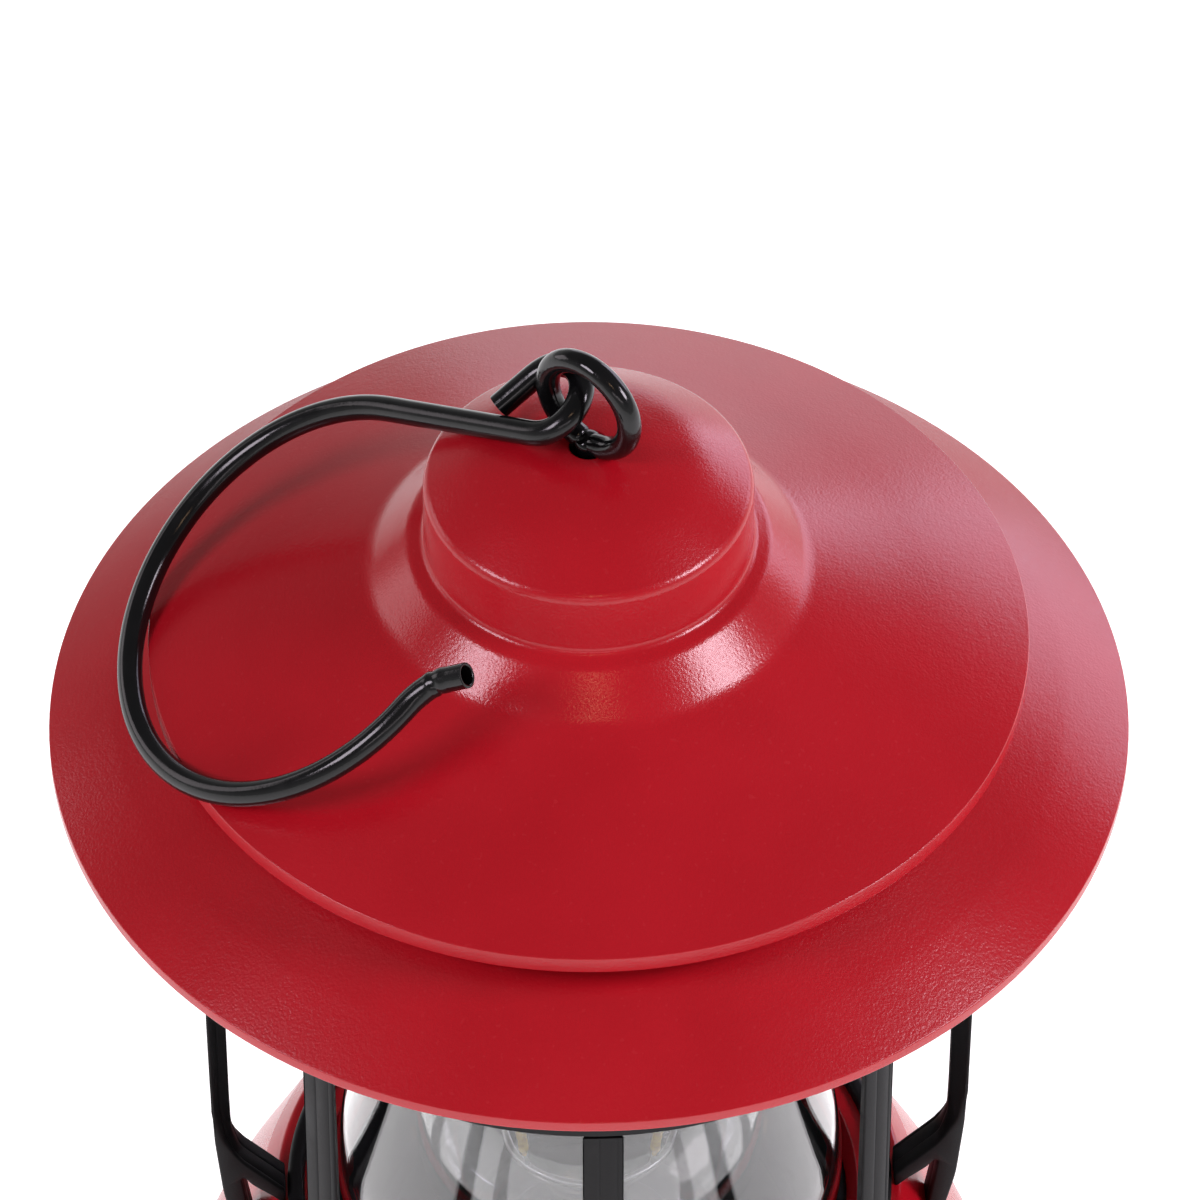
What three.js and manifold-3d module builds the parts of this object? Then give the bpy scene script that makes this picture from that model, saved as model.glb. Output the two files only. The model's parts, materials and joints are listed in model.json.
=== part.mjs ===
// Battery lantern in the style of an oil lamp: two-tier roof with a swivelling
// eye and a hook, eight-post cage, glass globe with a filament bulb, bell base.
// Millimetres, +Z up, front towards -Y, origin at the centre of the underside.
import * as THREE from "three";
import { mergeVertices } from "three/addons/utils/BufferGeometryUtils.js";
import Module from "manifold-3d";

const wasm = await Module();
wasm.setup();

// Driving sizes
const BRIM_R = 95;
const BRIM_Z = 228;
const CAP_R = 76.6;
const SHEET = 0.9;
const GAP = 0.3;
const EYE_R = 9;
const EYE_WIRE = 2.1;
const EYE_Z = BRIM_Z + 66.4 + EYE_R + EYE_WIRE;
const EYE_TURN = -39;
const HOOK_R = 37.4;
const HOOK_WIRE = 2.25;
const HOOK_CORE = 1.5;
const SHANK = 35.3;
const CAGE_R = 70.5;
const POSTS = 8;
const POST_WIDTH = 7.2;
const POST_TURN = 2.07;
const RAIL_Z = 194.8;
const HOOP_R = 55.4;
const SHOULDER_R = 61.3;
const SHOULDER_Z = 98.2;
const BASE_R = 81;
const GLOBE_WALL = 1.6;
const BULB_WALL = 0.9;
const CELL_R = 13.1;
const CELL_LENGTH = 49;
const KNOB_Z = 30;
const KNOB_R = 9;
const TURN_CLEARANCE = 0.08;

// Derived heights and radii
const DECK_Z = BRIM_Z - 4;
const GLOBE_FOOT_Z = 84;
const GLOBE_TOP_Z = DECK_Z - 3;
const CELL_FLOOR_Z = 8.6;
const SOCKET_FLOOR_Z = 61;
const PAN_Z = 4.3;
const PAN_THICK = 2.2;
const CELL_AT = (CELL_R + 0.48) * Math.SQRT2;
const HOLDER_R = CELL_AT + CELL_R + 2.7;
const COVER_R = HOLDER_R + 1;
const TURN = Math.PI / 180;
const ROUND = 36;

const group = new THREE.Group();
const materials = {
  red_paint: new THREE.MeshStandardMaterial({ color: 0xb41c28, roughness: 0.4 }),
  black_plastic: new THREE.MeshStandardMaterial({ color: 0x222224, roughness: 0.6 }),
  black_gloss: new THREE.MeshStandardMaterial({ color: 0x101012, roughness: 0.25 }),
  clear_glass: new THREE.MeshStandardMaterial({ color: 0xe8eef0, opacity: 0.3, transparent: true }),
  steel: new THREE.MeshStandardMaterial({ color: 0xb0b0b2, metalness: 0.9, roughness: 0.35 }),
  brass: new THREE.MeshStandardMaterial({ color: 0xc8a45a, metalness: 0.9, roughness: 0.35 }),
  rubber: new THREE.MeshStandardMaterial({ color: 0x1c1c1c, roughness: 0.9 }),
  phosphor: new THREE.MeshStandardMaterial({ color: 0xe9c21e, roughness: 0.6 }),
  board_green: new THREE.MeshStandardMaterial({ color: 0x1d5a34, roughness: 0.5 }),
  cell_jacket: new THREE.MeshStandardMaterial({ color: 0x3a4652, roughness: 0.4 }),
};

function add(name, geometry, material) {
  const mesh = new THREE.Mesh(geometry, materials[material].clone());
  mesh.name = name;
  group.add(mesh);
}

// A closed profile of [radius, height] points turned round Z, whichever way it was listed.
function turned(profile, segments) {
  const points = profile.map(([r, z]) => new THREE.Vector2(r, z));
  if (THREE.ShapeUtils.area(points) < 0) points.reverse();
  points.push(points[0].clone());
  const geometry = new THREE.LatheGeometry(points, segments);
  geometry.rotateX(Math.PI / 2);
  return geometry;
}

// The side of a sheet that lies `thick` inside the listed side, with mitred corners.
function offset(line, thick) {
  return line.map((p, i) => {
    const a = line[Math.max(i - 1, 0)];
    const b = line[Math.min(i + 1, line.length - 1)];
    const into = new THREE.Vector2(p[0] - a[0], p[1] - a[1]);
    const out = new THREE.Vector2(b[0] - p[0], b[1] - p[1]);
    if (into.length() === 0) into.copy(out);
    if (out.length() === 0) out.copy(into);
    into.normalize();
    out.normalize();
    const n = new THREE.Vector2(-into.y - out.y, into.x + out.x);
    const reach = thick / Math.max(n.lengthSq() / 2, 0.5);
    return [p[0] + n.x * reach, p[1] + n.y * reach];
  });
}

// A sheet turned round Z: the listed outer side and its offset inside.
function pressed(line, thick, segments) {
  return turned([...line, ...offset(line, thick).reverse()], segments);
}

function solid(geometry) {
  const flat = geometry.index ? geometry.toNonIndexed() : geometry;
  const bare = new THREE.BufferGeometry().setAttribute("position", flat.getAttribute("position"));
  const merged = mergeVertices(bare, 1e-3);
  return new wasm.Manifold(
    new wasm.Mesh({
      numProp: 3,
      vertProperties: merged.attributes.position.array,
      triVerts: new Uint32Array(merged.index.array),
    }),
  );
}

function geometryOf(made) {
  const mesh = made.getMesh();
  return new THREE.BufferGeometry()
    .setAttribute("position", new THREE.BufferAttribute(new Float32Array(mesh.vertProperties), 3))
    .setIndex(new THREE.BufferAttribute(new Uint32Array(mesh.triVerts), 1))
    .toNonIndexed();
}

function joined(parts) {
  return geometryOf(parts.map(solid).reduce((a, b) => a.add(b)));
}

function cut(part, tools) {
  return geometryOf(tools.map(solid).reduce((a, b) => a.subtract(b), solid(part)));
}

function rod(radius, length, segments) {
  return new THREE.CylinderGeometry(radius, radius, length, segments).rotateX(Math.PI / 2);
}

function rodAt(radius, x, y, z0, z1, segments) {
  return rod(radius, z1 - z0, segments).translate(x, y, (z0 + z1) / 2);
}

// A straight bar between two points.
function bar(from, to, radius, segments) {
  const along = new THREE.Vector3().subVectors(to, from);
  const turn = new THREE.Quaternion().setFromUnitVectors(
    new THREE.Vector3(0, 1, 0),
    along.clone().normalize(),
  );
  const middle = from.clone().addScaledVector(along, 0.5);
  return new THREE.CylinderGeometry(radius, radius, along.length(), segments)
    .applyQuaternion(turn)
    .translate(middle.x, middle.y, middle.z);
}

function polar(r, degrees, z) {
  return new THREE.Vector3(r * Math.cos(degrees * TURN), r * Math.sin(degrees * TURN), z);
}

// Roof cap: upper tier, flare, stepped neck and dome in one pressing, with the eye's hole
const tierHeight = (r) => 36.3 - (r - 39.6) * 0.41;
const capLine = [
  [EYE_WIRE + 1.2, 66.9],
  [10, 66.1],
  [18.4, 63.6],
  [24.6, 59.9],
  [27.1, 57.2],
  [27.8, 54.4],
  [27.8, 46.6],
  [28.6, 45.3],
  [30.8, 44],
  [37.4, 37.6],
  [39.6, tierHeight(39.6)],
  [CAP_R - 1.3, tierHeight(CAP_R - 1.3)],
  [CAP_R - 0.3, tierHeight(CAP_R) - 0.3],
  [CAP_R, tierHeight(CAP_R) - 1.1],
  [CAP_R, tierHeight(CAP_R) - 2.8],
].map(([r, z]) => [r, BRIM_Z + z]);
add("roof_cap", pressed(capLine, -SHEET, ROUND), "red_paint");

// Brim: lower tier with a rolled lip and a collar that carries the cap
const COLLAR_R = 61;
const collarTop = tierHeight(COLLAR_R) - SHEET * 1.08 - GAP;
const brimLine = [
  [COLLAR_R, collarTop],
  [COLLAR_R, 18.6],
  [62, 17.2],
  [72, 12.5],
  [84, 6.3],
  [BRIM_R - 1.6, 0.9],
  [BRIM_R - 0.5, 0.2],
  [BRIM_R, -0.6],
  [BRIM_R, -1.7],
].map(([r, z]) => [r, BRIM_Z + z]);
add("brim", pressed(brimLine, -SHEET, ROUND), "red_paint");

// Eye: ring and stem in one bent wire, standing in a bush and held by a nut
const stemBottom = BRIM_Z + 50.6;
const eyeRing = new THREE.TorusGeometry(EYE_R, EYE_WIRE, 10, 30)
  .rotateX(Math.PI / 2)
  .rotateZ(EYE_TURN * TURN)
  .translate(0, 0, EYE_Z);
const eyeStem = rodAt(EYE_WIRE, 0, 0, stemBottom, EYE_Z - EYE_R, 16);
add("eye_bolt", joined([eyeRing, eyeStem]), "black_gloss");
const bushTop = BRIM_Z + 64.8;
add(
  "eye_bush",
  turned(
    [
      [EYE_WIRE + TURN_CLEARANCE, bushTop - 5],
      [6.5, bushTop - 5],
      [6.5, bushTop - 0.3],
      [EYE_WIRE + 0.9, bushTop],
      [EYE_WIRE + TURN_CLEARANCE, bushTop],
    ],
    20,
  ),
  "black_plastic",
);
const nutTop = bushTop - 5 - GAP;
add(
  "eye_nut",
  cut(rodAt(4.2, 0, 0, nutTop - 3.2, nutTop, 6), [
    rodAt(EYE_WIRE + 0.25, 0, 0, nutTop - 5, nutTop + 1, 16),
  ]),
  "steel",
);

// Hook: one flat bent wire in a vinyl sleeve, lying across the roof at rest
const LINK = new THREE.Vector3(0, 0, EYE_Z + 1.1);
const HOOK_SLOPE = 36;
const HOOK_HEADING = 196;
const across = new THREE.Vector3(Math.sin((180 - HOOK_HEADING) * TURN), Math.cos(16 * TURN), 0);
const down = new THREE.Vector3(
  Math.cos(HOOK_HEADING * TURN) * Math.cos(HOOK_SLOPE * TURN),
  Math.sin(HOOK_HEADING * TURN) * Math.cos(HOOK_SLOPE * TURN),
  -Math.sin(HOOK_SLOPE * TURN),
);
const LOOP_R = 6.8;
const LOOP_AT = [5.8, 6.5];
const SHANK_ANGLE = 42;
const SHANK_START = 132;
const TIP_ANGLE = 200;

// A flat curve given by a point every few degrees or millimetres in the hook's plane.
class HookLine extends THREE.Curve {
  constructor(stops) {
    super();
    this.stops = stops;
    this.reach = [0];
    for (let i = 1; i < stops.length; i++) {
      const step = Math.hypot(stops[i][0] - stops[i - 1][0], stops[i][1] - stops[i - 1][1]);
      this.reach.push(this.reach[i - 1] + step);
    }
  }
  getPoint(t, target = new THREE.Vector3()) {
    const want = t * this.reach[this.reach.length - 1];
    let i = 1;
    while (i < this.stops.length - 1 && this.reach[i] < want) i++;
    const share = (want - this.reach[i - 1]) / (this.reach[i] - this.reach[i - 1]);
    const a = this.stops[i - 1][0] + (this.stops[i][0] - this.stops[i - 1][0]) * share;
    const d = this.stops[i - 1][1] + (this.stops[i][1] - this.stops[i - 1][1]) * share;
    return target.copy(LINK).addScaledVector(across, a).addScaledVector(down, d);
  }
}

function arcStops(centre, radius, from, to, count) {
  const stops = [];
  for (let i = 0; i <= count; i++) {
    const angle = (from + ((to - from) * i) / count) * TURN;
    stops.push([centre[0] + radius * Math.cos(angle), centre[1] + radius * Math.sin(angle)]);
  }
  return stops;
}

const loopStops = arcStops(LOOP_AT, LOOP_R, 0, SHANK_START - 360, 14);
const shankFrom = loopStops[loopStops.length - 1];
const shankTo = [
  shankFrom[0] + SHANK * Math.cos(SHANK_ANGLE * TURN),
  shankFrom[1] + SHANK * Math.sin(SHANK_ANGLE * TURN),
];
const arcCentre = [
  shankTo[0] - HOOK_R * Math.sin(SHANK_ANGLE * TURN),
  shankTo[1] + HOOK_R * Math.cos(SHANK_ANGLE * TURN),
];
const arcLine = arcStops(arcCentre, HOOK_R, SHANK_ANGLE - 90, TIP_ANGLE, 30);
const arcEnd = arcLine[arcLine.length - 1];
const tipStops = [
  [arcEnd[0] - 0.4, arcEnd[1] - 4.2],
  [arcEnd[0] - 1.8, arcEnd[1] - 8.2],
  [arcEnd[0] - 3, arcEnd[1] - 11],
];
const tailEnd = [LOOP_AT[0] + LOOP_R - 0.9, LOOP_AT[1] + 9.2];
const hookStops = [tailEnd, ...loopStops, ...arcLine, ...tipStops];
const coreStops = hookStops.slice(0, hookStops.length - 1);

function wire(stops, radius, bore, sides, steps) {
  const outline = new THREE.Shape().absarc(0, 0, radius, 0, 2 * Math.PI);
  if (bore > 0) outline.holes.push(new THREE.Path().absarc(0, 0, bore, 0, 2 * Math.PI));
  return new THREE.ExtrudeGeometry(outline, {
    steps,
    curveSegments: sides,
    extrudePath: new HookLine(stops),
  });
}
add("hook_sleeve", wire(hookStops, HOOK_WIRE, HOOK_CORE + GAP, 4, 52), "black_gloss");
add("hook_wire", wire(coreStops, HOOK_CORE, 0, 3, 52), "steel");

// Cage top: rim band under the brim with a deck that holds the globe down
const brimHeight = (r) => {
  const i = brimLine.findIndex(([x], k) => k > 1 && x >= r);
  const [a, b] = [brimLine[i - 1], brimLine[i]];
  return a[1] + ((b[1] - a[1]) * (r - a[0])) / (b[0] - a[0]);
};
const railTop = brimHeight(CAGE_R) - SHEET * 1.14 - GAP;
const DECK_HOLE = 30;
const topRing = turned(
  [
    [CAGE_R, RAIL_Z],
    [CAGE_R, railTop],
    [CAGE_R - 3.2, railTop + 1.2],
    [CAGE_R - 3.2, DECK_Z + 3],
    [DECK_HOLE, DECK_Z + 3],
    [DECK_HOLE, DECK_Z],
    [CAGE_R - 3.2, DECK_Z],
    [CAGE_R - 3.2, RAIL_Z],
  ],
  ROUND,
);
const SPACER_AT = 50;
const spacerAngles = [90, 210, 330];
const screwHoles = spacerAngles.map((angle) => {
  const at = polar(SPACER_AT, angle, 0);
  return rodAt(1.9, at.x, at.y, DECK_Z - 2, DECK_Z + 5, 12);
});
add("cage_top_ring", cut(topRing, screwHoles), "black_plastic");

// Roof spacers and the screws that clamp cap and brim to the cage deck
const spacerTop = BRIM_Z + tierHeight(SPACER_AT + 4) - SHEET * 1.08 - GAP;
spacerAngles.forEach((angle, i) => {
  const at = polar(SPACER_AT, angle, 0);
  const post = rodAt(4, at.x, at.y, DECK_Z + 3 + GAP, spacerTop, 14);
  const bore = rodAt(1.75, at.x, at.y, DECK_Z, DECK_Z + 16, 12);
  add("roof_spacer_" + (i + 1), cut(post, [bore]), "black_plastic");
  const shaft = rodAt(1.5, at.x, at.y, DECK_Z - 1, DECK_Z + 14, 10);
  const head = rodAt(3, at.x, at.y, DECK_Z - GAP - 2, DECK_Z - GAP, 12);
  add("roof_screw_" + (i + 1), joined([shaft, head]), "steel");
});

// Cage posts: upright bars that split into a leg on the bell and a strut to the hoop.
// Their sides lean together inwards, so a bar is widest on its outer face.
const bellEdge = (z) => SHOULDER_R + 0.42 + (94 - z) * 0.485 * ((BASE_R - SHOULDER_R) / 19.7);
const uprightInside = [
  [CAGE_R - 3.4, 118],
  [CAGE_R - 3.3, 126],
  [CAGE_R - 3.3, 150],
  [CAGE_R - 3.1, RAIL_Z - GAP],
];
const postOutside = [
  [CAGE_R, RAIL_Z - GAP],
  [CAGE_R + 0.2, 150],
  [CAGE_R + 0.1, 132],
  [CAGE_R - 0.2, 121],
  [CAGE_R - 0.6, 112],
  [CAGE_R - 1.6, 102],
  [CAGE_R - 3, 94.5],
  [CAGE_R - 4.1, 89],
  [Math.max(CAGE_R - 4.6, bellEdge(85.4)), 85.4],
  [Math.max(CAGE_R - 7.1, bellEdge(90.4)), 90.4],
  [CAGE_R - 6.1, 97],
  [CAGE_R - 5.2, 103],
  [CAGE_R - 4.7, 107.4],
  [CAGE_R - 6.4, 104.8],
  [60.3, 101.6],
  [58.3, 99.4],
  [57.4, 98.9],
  [57.4, 102.4],
  [59.2, 104.5],
  [62.1, 107.6],
  [CAGE_R - 5.9, 110.2],
  [CAGE_R - 4.4, 113],
];
const uprightEdge = uprightInside.map(([, z], i) => [CAGE_R - (i ? 0.4 : 2), z]);
const barSection = [...postOutside, ...uprightInside].reverse();
const edgeSection = [...postOutside, ...uprightEdge].reverse();

// A bar whose side outline changes across its width: [where, outline] stations in order.
function lofted(stations) {
  const count = stations[0][1].length;
  const corners = stations.map(([y, line]) => line.map(([r, z]) => [r, y, z]));
  const faces = [];
  const addFace = (...three) => three.forEach((corner) => faces.push(...corner));
  for (let k = 0; k + 1 < corners.length; k++) {
    for (let i = 0; i < count; i++) {
      const n = (i + 1) % count;
      addFace(corners[k][i], corners[k + 1][i], corners[k + 1][n]);
      addFace(corners[k][i], corners[k + 1][n], corners[k][n]);
    }
  }
  stations.forEach(([, line], k) => {
    if (k > 0 && k + 1 < stations.length) return;
    const outline = line.map(([r, z]) => new THREE.Vector2(r, z));
    for (const [a, b, c] of THREE.ShapeUtils.triangulateShape(outline, [])) {
      if (k === 0) addFace(corners[k][a], corners[k][b], corners[k][c]);
      else addFace(corners[k][a], corners[k][c], corners[k][b]);
    }
  });
  const position = new THREE.BufferAttribute(new Float32Array(faces), 3);
  return new THREE.BufferGeometry().setAttribute("position", position);
}
for (let i = 0; i < POSTS; i++) {
  const post = lofted([
    [-POST_WIDTH / 2, edgeSection],
    [-POST_WIDTH / 6, barSection],
    [POST_WIDTH / 6, barSection],
    [POST_WIDTH / 2, edgeSection],
  ]);
  post.rotateZ((POST_TURN - 90 + (i * 360) / POSTS) * TURN);
  add("cage_post_" + (i + 1), post, "black_plastic");
}

// Hoop that ties the post feet together on the base's shoulder
add(
  "cage_hoop",
  turned(
    [
      [HOOP_R - 1.6, SHOULDER_Z + GAP],
      [HOOP_R + 1.6, SHOULDER_Z + GAP],
      [HOOP_R + 1.6, SHOULDER_Z + 2.4],
      [HOOP_R + 0.6, SHOULDER_Z + 3.3],
      [HOOP_R - 0.6, SHOULDER_Z + 3.3],
      [HOOP_R - 1.6, SHOULDER_Z + 2.4],
    ],
    ROUND,
  ),
  "black_plastic",
);

// Globe: blown barrel, standing in a seat and held by a gasket under the deck
const globeLine = [
  [33.6, GLOBE_TOP_Z],
  [33.5, 190],
  [34.9, 170],
  [38, 150],
  [41.8, 132],
  [44.7, 118.5],
  [45.7, 109],
  [45.2, 101.5],
  [43.6, 95],
  [40.4, 88.6],
  [37.4, GLOBE_FOOT_Z],
];
add("globe", pressed(globeLine, -GLOBE_WALL, ROUND), "clear_glass");
add(
  "globe_gasket",
  turned(
    [
      [DECK_HOLE + 1, GLOBE_TOP_Z + GAP],
      [36, GLOBE_TOP_Z + GAP],
      [36, DECK_Z - GAP],
      [DECK_HOLE + 1, DECK_Z - GAP],
    ],
    32,
  ),
  "rubber",
);
add(
  "globe_seat",
  turned(
    [
      [25, GLOBE_FOOT_Z - 3.4],
      [47.6, GLOBE_FOOT_Z - 3.4],
      [48.6, GLOBE_FOOT_Z + 6],
      [48.6, SHOULDER_Z - 2],
      [46.9, SHOULDER_Z - 2],
      [44.4, GLOBE_FOOT_Z + 8],
      [39.8, GLOBE_FOOT_Z + 1.4],
      [38.6, GLOBE_FOOT_Z - GAP],
      [25, GLOBE_FOOT_Z - GAP],
    ],
    ROUND,
  ),
  "black_plastic",
);

// Bulb: blown envelope on a screw cap, funnel stem and four light strips
const bulbLine = [
  [0, 155.5],
  [10.5, 154],
  [20, 149],
  [27.4, 140],
  [31.5, 128.5],
  [32.2, 117],
  [30.2, 106.5],
  [25.4, 99.5],
  [17.5, 92],
  [13.9, 86],
  [13.4, 82],
];
const bulbOutside = bulbLine.map(([r, z]) => [r, z]);
const bulbInside = offset(bulbLine, -BULB_WALL)
  .map(([r, z], i) => (i === 0 ? [0, bulbLine[0][1] - BULB_WALL] : [r, z]))
  .reverse();
add("bulb_glass", turned([...bulbOutside, ...bulbInside], 28), "clear_glass");
add(
  "bulb_stem",
  turned(
    [
      [11.6, 82],
      [11.6, 83.2],
      [8.4, 88],
      [7.8, 97],
      [10.6, 107],
      [16.6, 116.5],
      [15.6, 117.1],
      [9.5, 107.6],
      [6.6, 97.4],
      [6.8, 88],
      [9.6, 83.2],
      [9.6, 82],
    ],
    28,
  ),
  "clear_glass",
);
add(
  "bulb_cap",
  turned(
    [
      [0, SOCKET_FLOOR_Z + GAP],
      [5, SOCKET_FLOOR_Z + GAP],
      [5.5, SOCKET_FLOOR_Z + 2.4],
      [12, SOCKET_FLOOR_Z + 5],
      [13, SOCKET_FLOOR_Z + 6],
      [13.2, 81.7],
      [0, 81.7],
    ],
    28,
  ),
  "brass",
);
const STRIP_LOW = [16.8, 122];
const STRIP_HIGH = [19.6, 142];
for (let i = 0; i < 4; i++) {
  const angle = 45 + i * 90;
  const low = polar(STRIP_LOW[0], angle, STRIP_LOW[1]);
  const high = polar(STRIP_HIGH[0], angle, STRIP_HIGH[1]);
  add("light_strip_" + (i + 1), bar(low, high, 0.9, 8), "phosphor");
}
const crownParts = [rodAt(1.4, 0, 0, 144.6, 147, 10)];
const footParts = [
  turned(
    [
      [15.4, 117.5],
      [16.8, 117.5],
      [16.8, 118.7],
      [15.4, 118.7],
    ],
    28,
  ),
];
for (let i = 0; i < 4; i++) {
  const angle = 45 + i * 90;
  const high = polar(STRIP_HIGH[0] + 0.05, angle, STRIP_HIGH[1] + GAP);
  crownParts.push(bar(high, polar(STRIP_HIGH[0], angle, 144.6), 0.5, 6));
  crownParts.push(bar(polar(STRIP_HIGH[0] + 0.3, angle, 144.4), polar(0, angle, 145.8), 0.5, 6));
  const low = polar(STRIP_LOW[0] - 0.1, angle, STRIP_LOW[1] - GAP);
  footParts.push(bar(polar(16.1, angle, 118), low, 0.5, 6));
}
add("strip_crown", joined(crownParts), "steel");
add("strip_ring", joined(footParts), "steel");

// Lamp holder, standing on the deck plate inside the base
add(
  "lamp_holder",
  turned(
    [
      [0, SOCKET_FLOOR_Z - 2],
      [20, SOCKET_FLOOR_Z - 2],
      [20, 80],
      [14.6, 80],
      [13.8, SOCKET_FLOOR_Z + 5],
      [6.4, SOCKET_FLOOR_Z],
      [0, SOCKET_FLOOR_Z],
    ],
    28,
  ),
  "black_plastic",
);

// Base shell: bell pressing, open below, with the dimmer's hole in front
const bell = (share) => SHOULDER_R + (BASE_R - SHOULDER_R) * share;
const shellLine = [
  [49.4, SHOULDER_Z - 3],
  [50.6, SHOULDER_Z - 0.6],
  [52, SHOULDER_Z],
  [57.6, SHOULDER_Z],
  [59.8, 96.6],
  [SHOULDER_R, 94],
  [bell(0.584), 70.3],
  [bell(0.868), 55],
  [bell(0.985), 42],
  [BASE_R, 32],
  [BASE_R, 8],
  [BASE_R + 0.8, 5.4],
  [BASE_R + 0.8, 3],
];
const shell = pressed(shellLine, -1.1, ROUND);
const shellHole = rod(4.6, 12, 16).rotateX(Math.PI / 2).translate(0, -BASE_R + 1, KNOB_Z);
add("base_shell", cut(shell, [shellHole]), "red_paint");

// Floor pan, foot ring and the pan's screws
const panR = BASE_R - 1.1 - GAP;
const panPlate = turned(
  [
    [COVER_R + GAP, PAN_Z],
    [panR, PAN_Z],
    [panR, PAN_Z + 6],
    [panR - 2, PAN_Z + 6],
    [panR - 2, PAN_Z + PAN_THICK],
    [COVER_R + GAP, PAN_Z + PAN_THICK],
  ],
  ROUND,
);
const panAngles = [60, 180, 300];
const PAN_SCREW_AT = BASE_R - 23;
const panHoles = panAngles.map((angle) => {
  const at = polar(PAN_SCREW_AT, angle, 0);
  return rodAt(2, at.x, at.y, PAN_Z - 2, PAN_Z + 5, 12);
});
add("floor_pan", cut(panPlate, panHoles), "black_plastic");
add(
  "foot_ring",
  turned(
    [
      [BASE_R - 17, 0],
      [BASE_R - 4, 0],
      [BASE_R - 3, 1],
      [BASE_R - 3, PAN_Z - GAP],
      [BASE_R - 18, PAN_Z - GAP],
      [BASE_R - 18, 1],
    ],
    ROUND,
  ),
  "rubber",
);

// Deck plate that carries the lamp holder and closes the battery bay
const deckLow = SOCKET_FLOOR_Z - 2 - GAP - 2.4;
add(
  "deck_plate",
  turned(
    [
      [0, deckLow],
      [bell(0.57), deckLow],
      [bell(0.57) - 1, deckLow + 2.4],
      [0, deckLow + 2.4],
    ],
    ROUND,
  ),
  "black_plastic",
);
panAngles.forEach((angle, i) => {
  const at = polar(PAN_SCREW_AT, angle, 0);
  const boss = rodAt(5, at.x, at.y, PAN_Z + PAN_THICK + GAP, deckLow - GAP, 14);
  const bore = rodAt(1.8, at.x, at.y, PAN_Z, PAN_Z + 16, 12);
  add("pan_boss_" + (i + 1), cut(boss, [bore]), "black_plastic");
  const shaft = rodAt(1.5, at.x, at.y, PAN_Z - 1, PAN_Z + 14, 10);
  const head = rodAt(3.2, at.x, at.y, PAN_Z - GAP - 2, PAN_Z - GAP, 12);
  add("pan_screw_" + (i + 1), joined([shaft, head]), "steel");
});

// Battery bay: holder, four cells and their contacts
const cellAngles = [45, 135, 225, 315];
const holderTop = deckLow - GAP;
const cellTop = CELL_FLOOR_Z + CELL_LENGTH - 3;
const CONTACT = 1.2;
const holderBlock = rodAt(HOLDER_R, 0, 0, CELL_FLOOR_Z, holderTop - 1, ROUND);
const cellBores = cellAngles.map((angle) => {
  const at = polar(CELL_AT, angle, 0);
  return rodAt(CELL_R + 0.35, at.x, at.y, 0, holderTop - 1.9, 20);
});
add("battery_holder", cut(holderBlock, cellBores), "black_plastic");
cellAngles.forEach((angle, i) => {
  const at = polar(CELL_AT, angle, 0);
  const cell = turned(
    [
      [0, CELL_FLOOR_Z],
      [CELL_R - 0.6, CELL_FLOOR_Z],
      [CELL_R, CELL_FLOOR_Z + 0.6],
      [CELL_R, cellTop - 3.4],
      [CELL_R - 0.8, cellTop - 2.6],
      [4, cellTop - 2.6],
      [4, cellTop - 1],
      [0, cellTop - 1],
    ],
    20,
  );
  add("cell_" + (i + 1), cell.translate(at.x, at.y, 0), "cell_jacket");
});

// Battery cover: quarter-turn disc in the pan, with a finger bar, carrying the lower contacts
const coverDisc = turned(
  [
    [0, PAN_Z - 1.2],
    [COVER_R - TURN_CLEARANCE, PAN_Z - 1.2],
    [COVER_R - TURN_CLEARANCE, PAN_Z + PAN_THICK],
    [0, PAN_Z + PAN_THICK],
  ],
  ROUND,
);
const scoops = [-1, 1].map((side) =>
  rodAt(12, 0, side * 15, PAN_Z - 3, PAN_Z + 0.8, 24),
);
add("battery_cover", cut(coverDisc, scoops), "black_plastic");
[-1, 1].forEach((side, i) => {
  const strip = new THREE.BoxGeometry(9, 46, CONTACT).translate(side * 13.5, 0, CELL_FLOOR_Z - GAP - CONTACT / 2);
  add("cell_contact_" + (i + 1), strip, "steel");
});

// Dimmer: control body behind the shell wall, shaft and knob in front
const bodyBack = -BASE_R + 19;
const bodyFront = -BASE_R + 3;
add(
  "dimmer_body",
  cut(
    new THREE.BoxGeometry(18, bodyBack - bodyFront, 18).translate(0, (bodyBack + bodyFront) / 2, KNOB_Z),
    [rod(3 + TURN_CLEARANCE, 14, 16).rotateX(Math.PI / 2).translate(0, bodyFront, KNOB_Z)],
  ),
  "steel",
);
add(
  "dimmer_shaft",
  rod(3, 18, 16).rotateX(Math.PI / 2).translate(0, bodyFront - 3, KNOB_Z),
  "steel",
);
const knobBack = -BASE_R - 0.7;
const knobProfile = turned(
  [
    [3.3, 0],
    [KNOB_R, 0],
    [KNOB_R, 8.6],
    [KNOB_R - 1.2, 9.8],
    [0, 9.8],
    [0, 8.4],
    [3.3, 8.4],
  ],
  24,
);
const pointer = new THREE.BoxGeometry(1.2, KNOB_R, 1.4).translate(0, KNOB_R / 2, 10.1);
const knob = joined([knobProfile, pointer]);
knob.rotateX(Math.PI / 2);
knob.translate(0, knobBack, KNOB_Z);
add("dimmer_knob", knob, "black_plastic");

// Driver board between the bosses, behind the battery holder
add(
  "driver_board",
  new THREE.BoxGeometry(34, 1.6, 30).translate(0, 56, 34),
  "board_green",
);

export default group;
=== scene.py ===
"""Battery lantern in the style of an oil lamp: looks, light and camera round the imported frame."""

import json
import math

import bmesh
import bpy
from mathutils import Matrix, Vector
from mathutils.geometry import tessellate_polygon


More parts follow.
